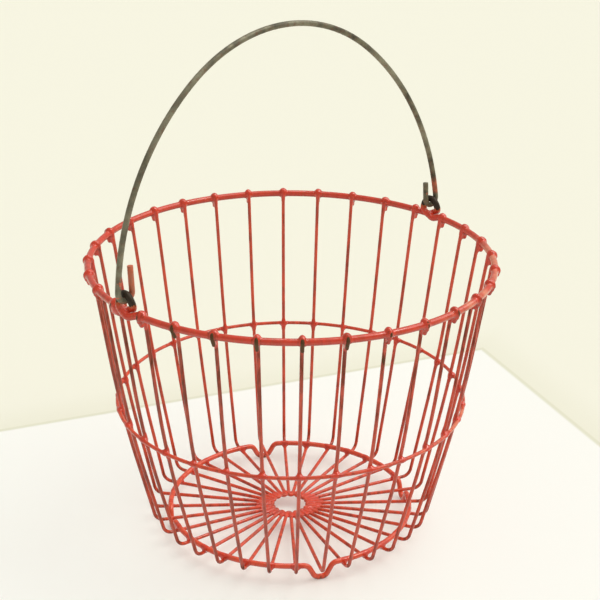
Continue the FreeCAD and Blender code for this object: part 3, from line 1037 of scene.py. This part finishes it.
        # The band's section is a flat oval, a third as high as it is wide.
        section = (Matrix.Translation((hub + 0.0010, 0, 0)) @ Matrix.Rotation(math.pi / 2, 4, "X")
                   @ Matrix.Diagonal((3.2, 1, 1, 1)))
        ring = bmesh.ops.create_circle(pool.mesh, cap_ends=True, segments=16, radius=0.0011,
                                       matrix=section)
        faces = list({face for vert in ring["verts"] for face in vert.link_faces})
        bmesh.ops.spin(pool.mesh, geom=faces + ring["verts"], cent=Vector(), axis=Vector((0, 0, 1)),
                       angle=math.tau, steps=96, use_merge=True, use_duplicate=False)
        step = math.tau / self.sizes.hairpins / 2
        for spoke in range(2 * self.sizes.hairpins):
            facing, between = step * (spoke + 0.5), step * spoke
            out = Vector((math.cos(facing), math.sin(facing), 0))
            pool.rod(out * (hub + 0.0005), out * (hub + 0.0110), rib + 0.0002, rib - 0.0001)
            way = Vector((math.cos(between), math.sin(between), 0))
            run = abs(way.dot(HUB_LONG_WAY)) ** 4
            reach = self.chance.uniform(0.0035, 0.0065) + 0.0085 * run
            inner = hub - 0.0006 - 0.0014 * run
            pool.rod(way * inner, way * (hub + reach), 0.0013, 0.0011)
        level = Matrix.Translation((0, 0, self.sizes.spoke_height))
        return placed("hub_coating", pool.melted(), [level], 0.0004, 80)

    def eye_pools(self) -> list[bpy.types.Object]:
        """Coating that fills the crossing under each eye, and the bulb beside the eye at -X.

        Returns:
            The two pieces.
        """
        pool = Pool(COARSE_GRAIN)
        rim = self.sizes.rim_wire / 2
        for side in (-1, 1):
            # The rim's wire runs between these two points on each side of the crossing.
            low = Vector((0.0036 * side, 0.0060 * side, -0.0022))
            high = Vector((0.0024 * side, -0.0073 * side, 0.0033))
            for (near, over), (far, far_over) in zip(EYE_CROSSING, EYE_CROSSING[1:]):
                pool.rod(low.lerp(high, near), low.lerp(high, far), rim + over, rim + far_over)
        pool.ball(Vector((0, 0, -0.0002)), 0.0030, (1.1, 1.25, 1.0))
        places = [wheel_place(angle, self.sizes.rim_radius + self.sizes.eye_reach, self.sizes.rim_height)
                  for angle in (0.0, 180.0)]
        pieces = [placed("eye_foot_coating", pool.melted(), places, 0.0003, 90)]
        bulb = Pool(BULB_GRAIN)
        bulb.ball(Vector((0, 0, -0.0018)), 0.0062, (0.82, 1.15, 1.0))
        bulb.ball(Vector((-0.0005, -0.0045, -0.0010)), 0.0044)
        beside_eye = wheel_place(175.4, self.sizes.rim_radius - 0.0006, self.sizes.rim_height - 0.0006)
        pieces.append(placed("eye_bulb_coating", bulb.melted(), [beside_eye], 0.0005, 95))
        return pieces


@dataclass
class Bail:
    """The swinging bail."""

    sizes: BasketSizes
    effects: Effects

    def dress(self) -> None:
        """Gives the bail its patina."""
        node = frame["nodes"]["bail"]
        set_finish(node, BareSteel("bail_patina").build(self.effects, self.sizes))
        smooth(node)
        log.info("dressed bail")


def set_finish(piece: bpy.types.Object, material: bpy.types.Material) -> None:
    """Puts one material on the whole piece."""
    piece.data.materials.clear()
    piece.data.materials.append(material)


def smooth(piece: bpy.types.Object) -> None:
    """Shades a round wire smoothly."""
    piece.data.shade_smooth()


# ---------------- studio


@dataclass(frozen=True)
class Sun:
    """One soft, even light from far away.

    It stands in the direction towards, and looks as wide as width, in degrees.
    """

    name: str
    towards: tuple[float, float, float]
    strength: float
    width: float
    shadow: bool = False

    def hang(self) -> None:
        """Adds the light to the scene."""
        light = bpy.data.lights.new(self.name, "SUN")
        light.energy = self.strength
        light.angle = math.radians(self.width)
        light.color = (1.0, 0.985, 0.95)
        light.use_shadow = self.shadow
        sun = bpy.data.objects.new(self.name, light)
        sun.rotation_mode = "QUATERNION"
        sun.rotation_quaternion = Vector(self.towards).to_track_quat("Z", "Y")
        bpy.context.scene.collection.objects.link(sun)


@dataclass(frozen=True)
class Studio:
    """Floor, light and camera."""

    azimuth: float = -42.58
    elevation: float = 22.91
    roll: float = 0.53
    distance: float = 1.2537
    target: tuple[float, float, float] = (0.0056, -0.0051, 0.2130)
    lens: float = 87.32
    sensor: float = 36.0
    floor_half: float = 6.0
    room_colour: Colour = (1.0, 0.985, 0.93)
    room_strength: float = 0.45
    suns: tuple[Sun, ...] = (
        Sun("key", (0.72, -0.32, 1.0), 0.95, 60.0, shadow=True),
        Sun("soft_key", (0.72, -0.32, 1.0), 0.55, 60.0),
        Sun("glint", (0.55, -0.40, 1.2), 0.45, 11.0),
        Sun("front_glint", (0.15, 0.20, 1.0), 0.40, 14.0),
    )

    def build(self) -> None:
        """Sets up the whole studio."""
        self._floor()
        self._lights()
        self._camera()

    def _floor(self) -> None:
        """A wide plain floor."""
        mesh = bmesh.new()
        bmesh.ops.create_grid(mesh, x_segments=1, y_segments=1, size=self.floor_half)
        floor = as_object("floor", mesh)
        set_finish(floor, PaleFloor().build())

    def _lights(self) -> None:
        """A wide key light, a twin of it without shadows, and two narrow glints, in a pale room."""
        world = bpy.data.worlds.new("pale_room")
        bpy.context.scene.world = world
        world.use_nodes = True
        background = world.node_tree.nodes["Background"]
        background.inputs["Color"].default_value = (*self.room_colour, 1)
        background.inputs["Strength"].default_value = self.room_strength
        for sun in self.suns:
            sun.hang()

    def _camera(self) -> None:
        """The camera, looking down at the basket from the side of its worn eye."""
        across, up = math.radians(self.azimuth), math.radians(self.elevation)
        back = Vector((math.sin(across) * math.cos(up), -math.cos(across) * math.cos(up), math.sin(up)))
        data = bpy.data.cameras.new("camera")
        data.lens = self.lens
        data.sensor_width = self.sensor
        camera = bpy.data.objects.new("camera", data)
        camera.location = Vector(self.target) + back * self.distance
        camera.rotation_mode = "QUATERNION"
        turn = Quaternion((0, 0, 1), math.radians(self.roll))
        camera.rotation_quaternion = (-back).to_track_quat("-Z", "Y") @ turn
        bpy.context.scene.collection.objects.link(camera)
        bpy.context.scene.camera = camera
        bpy.context.scene.view_settings.view_transform = "Standard"


def as_object(name: str, mesh: bmesh.types.BMesh) -> bpy.types.Object:
    """Turns a bmesh into an object at the origin.

    Args:
        name: the object's name.
        mesh: the bmesh, which is freed.

    Returns:
        The new object, linked to the scene.
    """
    data = bpy.data.meshes.new(name)
    mesh.to_mesh(data)
    mesh.free()
    made = bpy.data.objects.new(name, data)
    bpy.context.scene.collection.objects.link(made)
    return made


def main() -> None:
    """Builds the looks and the studio."""
    sizes = BasketSizes.from_frame()
    effects = Effects.build(sizes)
    WireBasket(sizes, effects).dress()
    Bail(sizes, effects).dress()
    Studio().build()


if __name__ == "__main__":
    main()
